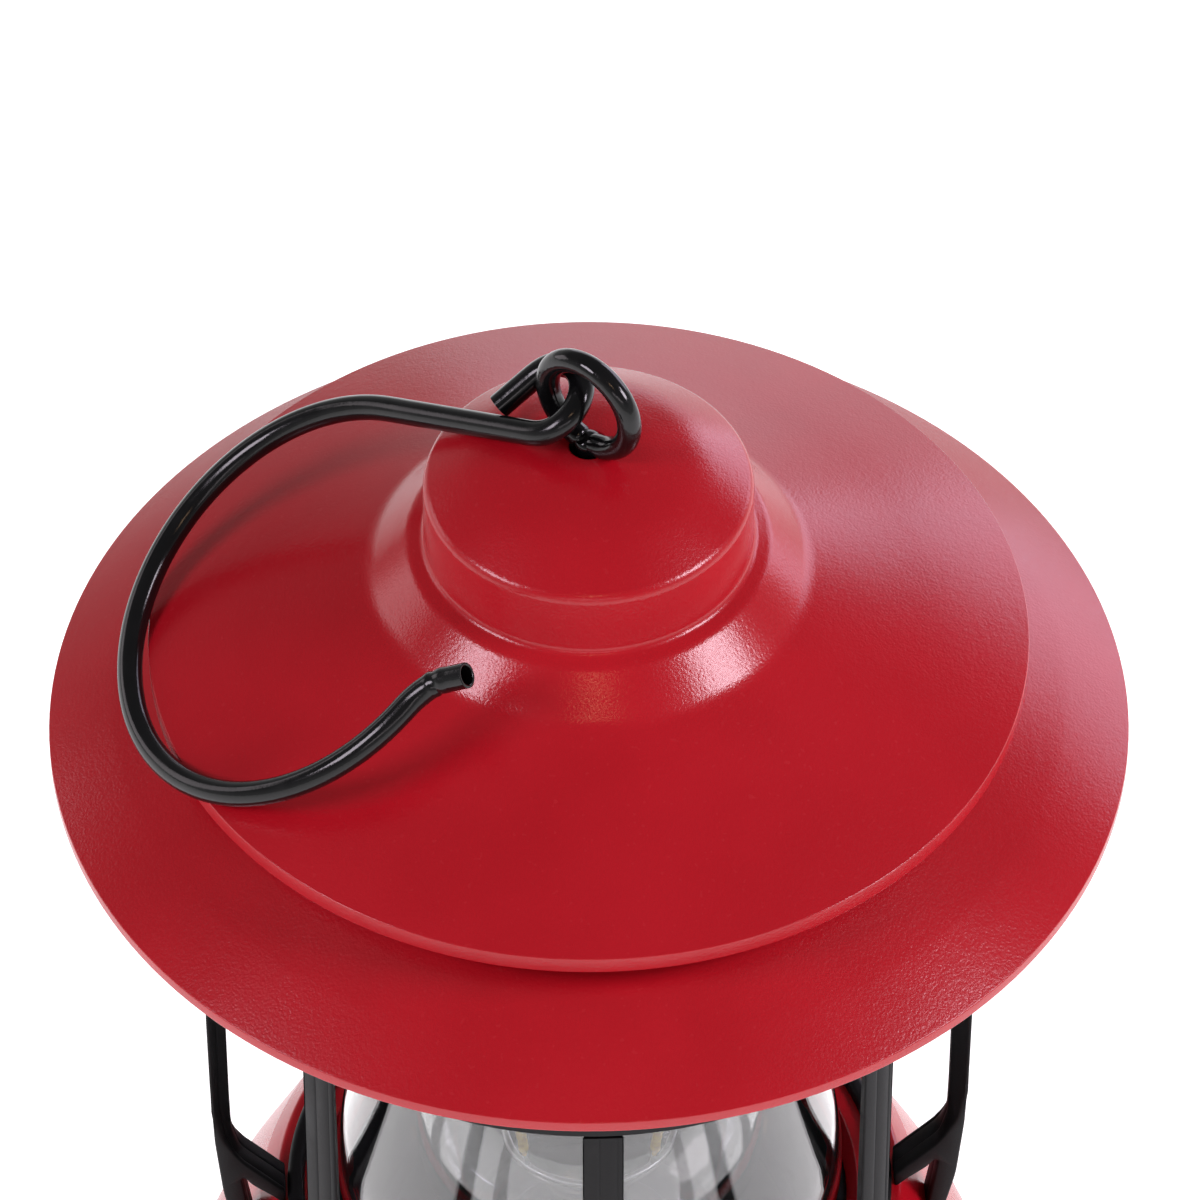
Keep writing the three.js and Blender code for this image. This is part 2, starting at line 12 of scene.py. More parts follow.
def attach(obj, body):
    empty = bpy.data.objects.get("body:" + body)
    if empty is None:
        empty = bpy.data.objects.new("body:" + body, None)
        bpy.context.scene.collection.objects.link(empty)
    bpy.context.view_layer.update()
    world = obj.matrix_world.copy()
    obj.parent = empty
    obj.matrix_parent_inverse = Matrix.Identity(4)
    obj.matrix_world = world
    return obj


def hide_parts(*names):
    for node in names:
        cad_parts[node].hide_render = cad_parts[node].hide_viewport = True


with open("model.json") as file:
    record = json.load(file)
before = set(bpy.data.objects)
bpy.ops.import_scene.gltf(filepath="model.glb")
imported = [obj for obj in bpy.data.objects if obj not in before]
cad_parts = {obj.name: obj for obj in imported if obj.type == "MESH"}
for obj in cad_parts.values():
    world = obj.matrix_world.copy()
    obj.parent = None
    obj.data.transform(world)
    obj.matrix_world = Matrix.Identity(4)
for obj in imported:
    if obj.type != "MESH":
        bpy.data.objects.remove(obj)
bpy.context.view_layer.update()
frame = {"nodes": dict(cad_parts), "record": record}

MM = 0.001


# ---------------------------------------------------------------- finishes


class Dial:
    """A number or colour inside a finish: sums on it add the nodes that work them out."""

    def __init__(self, finish, socket):
        self.finish, self.socket = finish, socket

    def sum(self, operation, *others):
        ins = {i: v for i, v in enumerate(others)}
        return self.finish.node("Math", {"operation": operation}, ins)

    def __add__(self, other):
        return self.sum("ADD", self, other)

    __radd__ = __add__

    def __sub__(self, other):
        return self.sum("SUBTRACT", self, other)

    def __rsub__(self, other):
        return self.sum("SUBTRACT", other, self)

    def __mul__(self, other):
        return self.sum("MULTIPLY", self, other)

    __rmul__ = __mul__

    def over(self, edge):
        return self.sum("GREATER_THAN", self, edge)

    def ramp(self, low, high, to_low=0.0, to_high=1.0):
        """Runs smoothly from to_low to to_high while this runs from low to high."""
        settings = {"interpolation_type": "SMOOTHSTEP"}
        ins = {"Value": self, "From Min": low, "From Max": high}
        ins |= {"To Min": to_low, "To Max": to_high}
        return self.finish.node("MapRange", settings, ins)


class Finish:
    """One material: a Principled surface whose sockets take numbers, colours or dials."""

    def __init__(self, name, **fixed):
        self.material = bpy.data.materials.new(name)
        self.material.use_nodes = True
        self.tree = self.material.node_tree
        self.tree.nodes.clear()
        self.surface = self.tree.nodes.new("ShaderNodeBsdfPrincipled")
        out = self.tree.nodes.new("ShaderNodeOutputMaterial")
        self.tree.links.new(self.surface.outputs[0], out.inputs["Surface"])
        self.set(**fixed)

    def feed(self, node, socket, value):
        target = node.inputs[socket]
        if isinstance(value, Dial):
            self.tree.links.new(value.socket, target)
        elif isinstance(value, (tuple, list)) and len(value) == 3 and target.type == "RGBA":
            target.default_value = (*value, 1.0)
        else:
            target.default_value = value

    def node(self, kind, settings=None, ins=None, out=0):
        made = self.tree.nodes.new("ShaderNode" + kind)
        for key, value in (settings or {}).items():
            setattr(made, key, value)
        for socket, value in (ins or {}).items():
            self.feed(made, socket, value)
        return Dial(self, made.outputs[out])

    def place(self):
        return self.node("TexCoord", out="Object")

    def noise(self, grain, detail=2.0, rough=0.5, stretch=None):
        """Cloudy noise whose spots are about `grain` millimetres across."""
        where = self.place()
        if stretch:
            where = self.node("VectorMath", {"operation": "MULTIPLY"}, {0: where, 1: stretch})
        ins = {"Vector": where, "Scale": 1 / (grain * MM), "Detail": detail, "Roughness": rough}
        return self.node("TexNoise", ins=ins)

    def between(self, share, low, high):
        """The colour `share` of the way from low to high."""
        ins = {0: share, 6: low, 7: high}
        return self.node("Mix", {"data_type": "RGBA"}, ins, out=2)

    def height(self):
        split = self.node("SeparateXYZ", ins={0: self.place()}, out=2)
        return split * (1 / MM)

    def relief(self, height, depth):
        """Presses `height` into the surface, `depth` millimetres from low to high."""
        ins = {"Height": height, "Distance": depth * MM}
        self.feed(self.surface, "Normal", self.node("Bump", ins=ins))

    def set(self, **sockets):
        for socket, value in sockets.items():
            self.feed(self.surface, socket.replace("_", " "), value)


def red_powder_coat():
    f = Finish("red_powder_coat", Specular_IOR_Level=0.5)
    cloud = f.noise(26, 3)
    peel = f.noise(0.5, 1.5, 0.55)
    speck = f.noise(0.9, 0.5).ramp(0.70, 0.78)
    coat = f.between(cloud.ramp(0.3, 0.7), (0.455, 0.0050, 0.0130), (0.490, 0.0065, 0.0155))
    coat = f.between(speck * 0.15, coat, (0.58, 0.04, 0.05))
    f.set(Base_Color=coat, Roughness=0.20 + peel.ramp(0.3, 0.7) * 0.05)
    f.relief(peel + f.noise(1.9, 1.0) * 0.5, 0.042)
    return f.material


def matte_black_moulding():
    f = Finish("matte_black_moulding", Specular_IOR_Level=0.16)
    grain = f.noise(0.34, 1.0)
    scuff = f.noise(9, 4, 0.6, (1.0, 1.0, 0.35)).ramp(0.56, 0.72)
    tone = f.between(scuff * 0.5, (0.0075, 0.0077, 0.0085), (0.015, 0.0152, 0.0165))
    f.set(Base_Color=tone, Roughness=0.47 + grain * 0.10 - scuff * 0.05)
    f.relief(grain, 0.02)
    return f.material


def black_wire_enamel():
    f = Finish("black_wire_enamel", Specular_IOR_Level=0.42)
    run = f.noise(3.2, 2.0)
    f.set(Base_Color=f.between(run, (0.003, 0.003, 0.0035), (0.006, 0.006, 0.0065)))
    f.set(Roughness=run.ramp(0.3, 0.7, 0.09, 0.15))
    f.relief(run + f.noise(0.8) * 0.3, 0.05)
    return f.material


def black_vinyl_sleeve():
    f = Finish("black_vinyl_sleeve", Specular_IOR_Level=0.38)
    run = f.noise(4.5, 2.0)
    fine = f.noise(0.5, 1.0)
    f.set(Base_Color=f.between(run, (0.003, 0.003, 0.0035), (0.007, 0.007, 0.0075)))
    f.set(Roughness=run.ramp(0.3, 0.7, 0.10, 0.17) + fine * 0.02)
    f.relief(run + fine * 0.25, 0.035)
    return f.material


def clear_glass(name, tint, rough_low, rough_high):
    f = Finish(name, Transmission_Weight=1.0, IOR=1.68)
    breath = f.noise(22, 2.0)
    f.set(Base_Color=f.between(breath, tint, (0.99, 0.995, 0.995)))
    f.set(Roughness=breath.ramp(0.4, 0.7, rough_low, rough_high))
    f.relief(f.noise(16, 1.0, 0.4, (1.0, 1.0, 0.4)), 0.05)
    return f.material


def plated_steel():
    f = Finish("plated_steel", Metallic=1.0)
    rub = f.noise(0.6, 3.0, 0.6, (1.0, 1.0, 6.0))
    f.set(Base_Color=f.between(rub, (0.46, 0.46, 0.47), (0.62, 0.62, 0.63)))
    f.set(Roughness=rub.ramp(0.3, 0.7, 0.26, 0.42))
    f.relief(rub, 0.01)
    return f.material


def nickel_shell():
    f = Finish("nickel_screw_shell", Metallic=1.0)
    rub = f.noise(0.9, 3.0)
    f.set(Base_Color=f.between(rub, (0.60, 0.50, 0.32), (0.74, 0.66, 0.48)))
    f.set(Roughness=rub.ramp(0.3, 0.7, 0.2, 0.36))
    f.relief(rub, 0.01)
    return f.material


def soft_rubber():
    f = Finish("soft_rubber", Specular_IOR_Level=0.3)
    grain = f.noise(0.5, 2.0)
    dust = f.noise(7, 3.0).ramp(0.5, 0.75)
    f.set(Base_Color=f.between(dust * 0.4, (0.012, 0.012, 0.012), (0.035, 0.033, 0.031)))
    f.set(Roughness=0.74 + grain * 0.12)
    f.relief(grain, 0.04)
    return f.material


def yellow_phosphor():
    f = Finish("yellow_phosphor", Specular_IOR_Level=0.35)
    band = f.noise(1.1, 2.0)
    f.set(Base_Color=f.between(band.ramp(0.35, 0.7), (0.86, 0.60, 0.015), (0.62, 0.36, 0.01)))
    f.set(Roughness=0.48 + band * 0.1)
    f.relief(band, 0.05)
    return f.material


def board_mask():
    f = Finish("green_board_mask", Specular_IOR_Level=0.5)
    weave = f.noise(0.7, 1.0)
    f.set(Base_Color=f.between(weave, (0.012, 0.07, 0.03), (0.02, 0.10, 0.045)))
    f.set(Roughness=0.3 + weave * 0.1)
    f.relief(weave, 0.02)
    return f.material


def cell_jacket():
    f = Finish("cell_jacket", Coat_Roughness=0.2)
    cloud = f.noise(5, 2.0)
    band = f.height().over(42.0)
    body = f.between(cloud, (0.05, 0.075, 0.11), (0.07, 0.10, 0.14))
    f.set(Base_Color=f.between(band, body, (0.55, 0.42, 0.20)), Coat_Weight=0.3)
    f.set(Roughness=0.32 + cloud * 0.08)
    f.relief(cloud, 0.01)
    return f.material


RED = red_powder_coat()
MOULDING = matte_black_moulding()
ENAMEL = black_wire_enamel()
VINYL = black_vinyl_sleeve()
GLOBE_GLASS = clear_glass("globe_glass", (0.965, 0.975, 0.975), 0.0, 0.012)
BULB_GLASS = clear_glass("bulb_glass", (0.955, 0.965, 0.965), 0.0, 0.02)
STEEL = plated_steel()
NICKEL = nickel_shell()
RUBBER = soft_rubber()
PHOSPHOR = yellow_phosphor()
BOARD = board_mask()
JACKET = cell_jacket()

SLOT_FINISH = {
    "red_paint": RED,
    "black_wire": ENAMEL,
    "black_vinyl": VINYL,
    "black_plastic": MOULDING,
    "steel": STEEL,
    "clear_glass": GLOBE_GLASS,
    "black_rubber": RUBBER,
    "brass": NICKEL,
    "light_strip": PHOSPHOR,
    "board": BOARD,
    "cell_jacket": JACKET,
}
RECORD = frame["record"]
BODY_NODES = RECORD["behaviour"]["bodies"]
NODE_SLOT = {part["node"]: part["material_slot"] for part in RECORD["subparts"]}
NODE_BODY = {node: body for body, nodes in BODY_NODES.items() for node in nodes}

for node_name, node_object in frame["nodes"].items():
    node_object.data.materials.clear()
    node_object.data.materials.append(SLOT_FINISH[NODE_SLOT[node_name]])


# ---------------------------------------------------------------- making pieces


def piece(name, mesh_maker, stands_for, finish=None, crease=35):
    """One named object from a bmesh maker, riding with the CAD nodes it stands for."""
    mesh = bpy.data.meshes.new(name)
    bm = bmesh.new()
    mesh_maker(bm)
    bmesh.ops.recalc_face_normals(bm, faces=bm.faces)
    for face in bm.faces:
        face.smooth = True
    for edge in bm.edges:
        edge.smooth = len(edge.link_faces) == 2 and edge.calc_face_angle(0) < math.radians(crease)
    bm.to_mesh(mesh)
    bm.free()
    made = bpy.data.objects.new(name, mesh)
    bpy.context.scene.collection.objects.link(made)
    nodes = [stands_for] if isinstance(stands_for, str) else list(stands_for)
    slot = NODE_SLOT[nodes[0]]
    mesh.materials.append(finish or SLOT_FINISH[slot])
    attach(made, NODE_BODY[nodes[0]])
    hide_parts(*nodes)


STRAIGHT = 0.02
ARC_STEP = math.radians(8)


def rounded(corners, closed=True):
    """Corners (radius, height, fillet) in millimetres, each turned into a short arc."""
    line = []
    count = len(corners)
    for i, corner in enumerate(corners):
        p, fillet = Vector(corner[:2]), corner[2]
        ends = not closed and i in (0, count - 1)
        if fillet <= 0 or ends:
            line.append(p)
            continue
        a = Vector(corners[i - 1][:2]) - p
        b = Vector(corners[(i + 1) % count][:2]) - p
        turn = math.pi - a.angle(b)
        if turn < STRAIGHT:
            line.append(p)
            continue
        cut = fillet * math.tan(turn / 2)
        cut = min(cut, 0.48 * a.length, 0.48 * b.length)
        radius = cut / math.tan(turn / 2)
        start, end = p + a.normalized() * cut, p + b.normalized() * cut
        bisect = (a.normalized() + b.normalized()).normalized()
        centre = p + bisect * (radius / math.cos(turn / 2))
        steps = max(3, round(turn / ARC_STEP))
        u, v = start - centre, end - centre
        sweep = u.angle(v)
        for k in range(steps + 1):
            t = k / steps
            w = (u * math.sin((1 - t) * sweep) + v * math.sin(t * sweep)) / math.sin(sweep)
            line.append(centre + w)
    return line


def skin(bm, rings):
    """Joins each ring of vertices to the next one with a band of faces."""
    for low, high in zip(rings, rings[1:]):
        for k in range(len(low)):
            n = (k + 1) % len(low)
            bm.faces.new((low[k], low[n], high[n], high[k]))


def spin(bm, line, steps, closed=True):
    """Turns a (radius, height) line in millimetres round Z into bm."""
    rings = []
    for p in line:
        if p.x < 1e-6:
            rings.append([bm.verts.new((0, 0, p.y * MM))])
            continue
        ring = []
        for k in range(steps):
            a = 2 * math.pi * k / steps
            ring.append(bm.verts.new((p.x * MM * math.cos(a), p.x * MM * math.sin(a), p.y * MM)))
        rings.append(ring)
    pairs = list(zip(rings, rings[1:]))
    if closed:
        pairs.append((rings[-1], rings[0]))
    for low, high in pairs:
        for k in range(steps):
            n = (k + 1) % steps
            if len(low) == 1 and len(high) == 1:
                break
            if len(low) == 1:
                bm.faces.new((low[0], high[n], high[k]))
            elif len(high) == 1:
                bm.faces.new((low[k], low[n], high[0]))
            else:
                bm.faces.new((low[k], low[n], high[n], high[k]))


def turned(name, corners, stands_for, steps=96, finish=None, crease=35):
    piece(name, lambda bm: spin(bm, rounded(corners), steps), stands_for, finish, crease)


def sheet_profile(under, thick):
    """The closed outline of a sheet laid on the line `under`, with rolled edges."""
    over = []
    for i, corner in enumerate(under):
        p = Vector(corner[:2])
        a = Vector(under[max(i - 1, 0)][:2])
        b = Vector(under[min(i + 1, len(under) - 1)][:2])
        d1 = (p - a).normalized() if i else (b - p).normalized()
        d2 = (b - p).normalized() if i < len(under) - 1 else d1
        n = Vector((d1.y + d2.y, -d1.x - d2.x))
        n = n * (thick / max(n.length_squared / 2, 0.5))
        q = p - n
        over.append((q.x, q.y, max(corner[2] - thick, 0.3)))
    edge = thick * 0.45
    first = (*under[0][:2], edge)
    last = (*under[-1][:2], edge)
    over[0] = (*over[0][:2], edge)
    over[-1] = (*over[-1][:2], edge)
    return [first, *under[1:-1], last, *reversed(over)]


def tube(bm, path, radii, sides):
    """Sweeps a round wire with flat ends along `path` (metres), one radius per point."""
    tangent = (path[1] - path[0]).normalized()
    side = tangent.orthogonal().normalized()
    rings = []
    for i, p in enumerate(path):
        ahead, behind = path[min(i + 1, len(path) - 1)], path[max(i - 1, 0)]
        new = (ahead - behind).normalized()
        side = (tangent.rotation_difference(new) @ side).normalized()
        tangent = new
        up = tangent.cross(side)
        ring = []
        for k in range(sides):
            a = 2 * math.pi * k / sides
            ring.append(bm.verts.new(p + (side * math.cos(a) + up * math.sin(a)) * radii[i]))
        rings.append(ring)
    skin(bm, rings)
    bm.faces.new(reversed(rings[0]))
    bm.faces.new(rings[-1])
    return rings


def domed(path, radius):
    """Path and radii of a wire whose two ends are rounded off inside its length."""
    first = (path[1] - path[0]).normalized()
    last = (path[-1] - path[-2]).normalized()
    reach, steps = radius * 0.5, 4
    points, radii = [], []
    for k in range(steps):
        a = (k / steps) * math.pi / 2
        points.append(path[0] + first * reach * (1 - math.cos(a)))
        radii.append(radius * (0.55 + 0.45 * math.sin(a)))
    tail = path[-1] - last * reach
    points += [path[0] + first * reach, *path[1:-1], tail]
    radii += [radius] * len(path)
    for k in range(steps):
        a = ((k + 1) / steps) * math.pi / 2
        points.append(tail + last * reach * math.sin(a))
        radii.append(radius * (0.55 + 0.45 * math.cos(a)))
    return points, radii


# ---------------------------------------------------------------- roof

BRIM_Z, BRIM_R, CAP_R, NECK_R = 228.0, 95.0, 76.6, 27.8
ROOF_SHEET, ROOF_LIP = 0.9, 2.8


def tier_height(radius):
    """Height of the upper tier's even slope at this radius."""
    return BRIM_Z + 36.3 - (radius - 39.6) * 0.41


cap_underside = [
    (3.3, BRIM_Z + 66.9, 0.5),
    (10.0, BRIM_Z + 66.2, 30),
    (18.6, BRIM_Z + 63.9, 24),
    (NECK_R, BRIM_Z + 58.3, 3.2),
    (NECK_R, BRIM_Z + 45.4, 2.5),
    (31.2, BRIM_Z + 44.1, 4.5),
    (37.9, BRIM_Z + 37.2, 9.0),
    (58.0, tier_height(58), 0),
    (CAP_R, tier_height(CAP_R), 1.2),
    (CAP_R, tier_height(CAP_R) - ROOF_LIP, 0),
]
cap_profile = sheet_profile(cap_underside, ROOF_SHEET)
turned("roof_cap_pressing", cap_profile, "roof_cap", 160, crease=60)

brim_underside = [
    (61.0, BRIM_Z + 26.2, 0),
    (61.0, BRIM_Z + 17.7, 1.6),
    (72.0, BRIM_Z + 12.5, 60),
    (84.0, BRIM_Z + 6.3, 60),
    (BRIM_R, BRIM_Z + 0.1, 1.2),
    (BRIM_R, BRIM_Z - 1.7, 0),
]
turned("brim_pressing", sheet_profile(brim_underside, ROOF_SHEET), "brim", 180, crease=60)


# ---------------------------------------------------------------- eye and hook

EYE_R, EYE_WIRE, EYE_Z, EYE_TURN = 9.0, 2.1, BRIM_Z + 77.5, math.radians(-39)
RING_START, RING_SWEEP = -77, 341
BEAD_R, BEAD_Z = 2.5, BRIM_Z + 68.35


def eye_path():
    """Up the stem, round the ring and back to the stem, where the end is welded on."""
    flat = Vector((math.cos(EYE_TURN), math.sin(EYE_TURN), 0))
    up = Vector((0, 0, 1))
    stem = [up * (BRIM_Z + h) for h in (50.6, 57, 63, 65.6, 67.2)]
    ring = []
    for k in range(57):
        a = math.radians(RING_START + RING_SWEEP * k / 56)
        ring.append(flat * EYE_R * math.cos(a) + up * (EYE_Z + EYE_R * math.sin(a)))
    neck = [flat * 0.9 + up * (EYE_Z - EYE_R - 0.25)]
    return [p * MM for p in stem + neck + ring]


def eye(bm):
    """The eye's wire, with a bead of weld where ring and stem meet."""
    points, radii = domed(eye_path(), EYE_WIRE * MM)
    tube(bm, points, radii, 24)
    bead = bmesh.ops.create_uvsphere(bm, u_segments=20, v_segments=12, radius=BEAD_R * MM)
    lift = Matrix.Translation((0, 0, BEAD_Z * MM)) @ Matrix.Diagonal((1, 1, 0.8, 1))
    bmesh.ops.transform(bm, matrix=lift, verts=bead["verts"])


piece("eye_wire", eye, "eye_bolt")

LINK = Vector((0, 0, EYE_Z + 1.1))
HEADING, SLOPE = math.radians(196), math.radians(36)
FORWARD = Vector((math.cos(HEADING), math.sin(HEADING), 0))
ACROSS = Vector((FORWARD.y, -FORWARD.x, 0))
DOWN = FORWARD * math.cos(SLOPE) - Vector((0, 0, math.sin(SLOPE)))
HOOK_WIRE, HOOK_R, SHANK = 2.25, 37.4, 35.3
LOOP_R, LOOP_AT = 6.8, Vector((5.8, 6.5))
SHANK_ANGLE, SHANK_START, TIP_ANGLE = 42, 132, 200
PATH_STEP = 0.8
KINK, KINK_LENGTH, WRINKLE = 6.3, 1.5, 0.2


def arc(centre, radius, start, end, count):
    line = []
    for i in range(count + 1):
        a = math.radians(start + (end - start) * i / count)
        line.append(centre + Vector((math.cos(a), math.sin(a))) * radius)
    return line


def eased(line, step):
    """Even points along a flat line, with its corners softened over a few steps."""
    spaced, left = [line[0].copy()], 0.0
    for a, b in zip(line, line[1:]):
        length = (b - a).length
        while left + step <= length:
            left += step
            spaced.append(a.lerp(b, left / length))
        left -= length
    spaced.append(line[-1].copy())
    for _ in range(6):
        middle = [(a + 2 * b + c) / 4 for a, b, c in zip(spaced, spaced[1:], spaced[2:])]
        spaced = [spaced[0], *middle, spaced[-1]]
    return spaced


def hook_line():
    """Tail, loop in the eye, straight shank, round bend and kinked tip, in metres."""
    loop = arc(LOOP_AT, LOOP_R, 0, SHANK_START - 360, 46)
    heading = Vector((math.cos(math.radians(SHANK_ANGLE)), math.sin(math.radians(SHANK_ANGLE))))
    shank_end = loop[-1] + heading * SHANK
    centre = shank_end + Vector((-heading.y, heading.x)) * HOOK_R
    bend = arc(centre, HOOK_R, SHANK_ANGLE - 90, TIP_ANGLE, 110)
    tip = bend[-1]
    tip_line = [tip + Vector(d) for d in ((0.1, -5.2), (-3.0, -11.0))]
    tail = LOOP_AT + Vector((LOOP_R - 0.9, 9.2))
    flat = eased([tail, *loop, *bend, *tip_line], PATH_STEP)
    return [(LINK + ACROSS * p.x + DOWN * p.y) * MM for p in flat]


def hook_sleeve(bm):
    """Vinyl sleeve: closed on the wire at the tail, open at the tip, wrinkled at the kink."""
    path = hook_line()
    radii = []
    for i in range(len(path)):
        from_kink = (len(path) - 1 - i) * PATH_STEP - KINK
        ridge = math.exp(-((from_kink / KINK_LENGTH) ** 2))
        radii.append((HOOK_WIRE - WRINKLE * ridge * math.cos(from_kink * 2.6)) * MM)
    mouth = tube(bm, path, radii, 28)[-1]
    cap = next(f for f in mouth[0].link_faces if len(f.verts) == len(mouth))
    bmesh.ops.delete(bm, geom=[cap], context="FACES_ONLY")
    centre = sum((v.co for v in mouth), Vector()) / len(mouth)
    along = (path[-1] - path[-2]).normalized()
    rings = [mouth]
    for shrink, depth in ((0.86, -0.12), (0.76, 0.0), (0.74, 0.6), (0.74, 4.2)):
        inset = -along * depth * MM
        rings.append([bm.verts.new(centre + (v.co - centre) * shrink + inset) for v in mouth])
    skin(bm, rings)
    bm.faces.new(rings[-1])


piece("hook_vinyl_sleeve", hook_sleeve, ["hook_sleeve", "hook_wire"], VINYL, 50)


# ---------------------------------------------------------------- cage

RAIL_Z, CAGE_R, DECK_Z = 194.8, 70.5, 224.0
ring_corners = [
    (CAGE_R, RAIL_Z, 0.5),
    (CAGE_R, BRIM_Z + 11.6, 0.3),
    (67.3, BRIM_Z + 13.0, 0.3),
    (67.3, DECK_Z + 3, 1.0),
    (30.0, DECK_Z + 3, 0.4),
    (30.0, DECK_Z, 0.4),
    (67.3, DECK_Z, 1.5),
    (67.3, RAIL_Z, 0.5),
]
turned("cage_rim_band", ring_corners, "cage_top_ring", 144)
turned(
    "cage_hoop_ring",
    [
        (53.8, 98.5, 0.9),
        (57.0, 98.5, 0.9),
        (57.0, 101.5, 1.3),
        (53.8, 101.5, 1.3),
    ],
    "cage_hoop",
    144,
)

POSTS, POST_TURN = 8, 2.07
POST_WIDTH, POST_TOP = 7.2, RAIL_Z - 0.3
MOULD_LINES, MOULD_LINE_HALF = (-0.6, 2.55), 0.14
UPRIGHT_OUTSIDE = 70.1
post_outside = [
    (CAGE_R, POST_TOP, 0),
    (70.7, 150, 200),
    (70.6, 132, 100),
    (70.2, 117, 60),
    (69.0, 102, 40),
    (66.9, 91.5, 30),
    (65.95, 85.5, 0.5),
    (63.5, 90.4, 0.5),
    (64.5, 97.5, 40),
    (65.6, 107.6, 0.7),
    (63.6, 104.4, 6),
    (60.0, 101.1, 8),
    (57.9, 98.9, 0.4),
    (57.4, 98.9, 0.3),
    (57.4, 102.4, 0.5),
    (61.4, 106.9, 12),
    (65.6, 111.6, 7),
]
upright_inside = [(67.1, 118, 9), (67.2, 126, 60), (67.2, 150, 100), (67.4, POST_TOP, 0)]


def leaned(p, lean):
    """Draws the inner face of the upright out towards its outer face."""
    if p.x > 69 or p.y < 112:
        return p
    share = lean * min(1.0, (p.y - 112) / 12)
    return Vector((p.x + (UPRIGHT_OUTSIDE - p.x) * share, p.y))


def inward(loop, by):
    """The loop moved `by` millimetres towards its own inside."""
    area = sum(a.cross(b) for a, b in zip(loop, loop[1:] + loop[:1]))
    way = 1 if area > 0 else -1
    moved = []
    for i, p in enumerate(loop):
        d = (loop[(i + 1) % len(loop)] - loop[i - 1]).normalized()
        moved.append(p + Vector((-d.y, d.x)) * by * way)
    return moved


def post(bm, turn):
    """A bar lofted across its width: rounded edges, sides leaning inwards, two mould lines."""
    half = POST_WIDTH / 2
    slope = half / 3
    middle = rounded(post_outside + upright_inside)
    stations = [(-half, 0.42), (-half + 0.12, 0.16), (-half + 0.3, 0.04), (-slope, 0.0)]
    for at in MOULD_LINES:
        stations += [(at - MOULD_LINE_HALF, 0.0), (at, 0.09), (at + MOULD_LINE_HALF, 0.0)]
    stations += [(slope, 0.0), (half - 0.3, 0.04), (half - 0.12, 0.16), (half, 0.42)]
    spin_by = Matrix.Rotation(turn, 3, "Z")
    rings = []
    for at, by in sorted(stations):
        lean = max(0.0, (abs(at) - slope) / (half - slope))
        line = inward([leaned(p, lean) for p in middle], by)
        ring = [spin_by @ Vector((p.x, at, p.y)) * MM for p in line]
        rings.append([bm.verts.new(p) for p in ring])
    skin(bm, rings)
    flat = [Vector((*leaned(p, 1), 0)) for p in middle]
    for ring in (rings[0], rings[-1]):
        for tri in tessellate_polygon([flat]):
            if len(set(tri)) == 3:
                bm.faces.new([ring[i] for i in tri])


for i in range(POSTS):
    turn = math.radians(POST_TURN - 90 + 360 * i / POSTS)
    piece(f"cage_bar_{i + 1}", lambda bm: post(bm, turn), f"cage_post_{i + 1}", crease=40)


# ---------------------------------------------------------------- globe and bulb

GLOBE_WALL, BULB_WALL = 1.6, 0.9
globe_inside = [
    (33.6, 221.0, 0),
    (33.5, 190, 200),
    (34.9, 170, 120),
    (38.0, 150, 100),
    (41.8, 132, 100),
    (44.8, 118.5, 60),
    (46.1, 109, 30),
    (45.3, 100.0, 30),
    (43.0, 93.5, 30),
    (39.0, 87.2, 6),
    (37.4, 84.0, 0),
]
turned("globe_blown", sheet_profile(globe_inside, GLOBE_WALL), "globe", 128)

seat_corners = [
    (25, 80.6, 0.5),
    (47.6, 80.6, 1),
    (48.6, 90, 3),
    (48.6, 96.2, 0.8),
    (46.9, 96.2, 0.8),
    (44.4, 92, 3),
    (39.8, 85.4, 1),
    (38.6, 83.7, 0.5),
    (25, 83.7, 0.5),
]
turned("globe_foot_seat", seat_corners, "globe_seat", 96)
turned(
    "globe_top_gasket",
    [(31, 221.3, 0.8), (36, 221.3, 0.8), (36, 223.7, 0.8), (31, 223.7, 0.8)],
    "globe_gasket",
    96,
)

bulb_outside = [
    (0, 155.5, 0),
    (10.5, 154.6, 30),
    (20.2, 150.0, 30),
    (27.9, 140.9, 32),
    (32.0, 128.5, 34),
    (32.7, 117, 34),
    (30.4, 106.5, 30),
    (25.4, 99.3, 24),
    (17.5, 91.9, 14),
    (14.0, 86.4, 8),
    (13.4, 82, 0),
]
bulb_line = rounded(bulb_outside, closed=False)


def bulb(bm):
    """Blown envelope: outside down to the neck, then back up its inside."""
    inside = []
    for i, p in enumerate(bulb_line):
        if i == 0:
            inside.append(Vector((0, p.y - BULB_WALL)))
            continue
        ahead = bulb_line[min(i + 1, len(bulb_line) - 1)]
        d = (ahead - bulb_line[i - 1]).normalized()
        inside.append(p + Vector((d.y, -d.x)) * BULB_WALL)
    spin(bm, bulb_line + inside[::-1], 112, closed=False)


piece("bulb_envelope", bulb, "bulb_glass", BULB_GLASS)

stem_corners = [
    (11.6, 82, 0.3),
    (11.6, 83.4, 0.6),
    (8.2, 89, 3),
    (7.8, 97, 8),
    (10.6, 107, 14),
    (16.6, 116.5, 0.45),
    (15.6, 117.1, 0.45),
    (9.5, 107.6, 14),
    (6.6, 97.4, 8),
    (6.8, 88.6, 3),
    (9.6, 83.4, 0.6),
    (9.6, 82, 0.3),
]
turned("bulb_glass_stem", stem_corners, "bulb_stem", 72, BULB_GLASS)


def polar(radius, degrees, height):
    a = math.radians(degrees)
    return Vector((radius * math.cos(a), radius * math.sin(a), height))


STRIP_ANGLES = (45, 135, 225, 315)


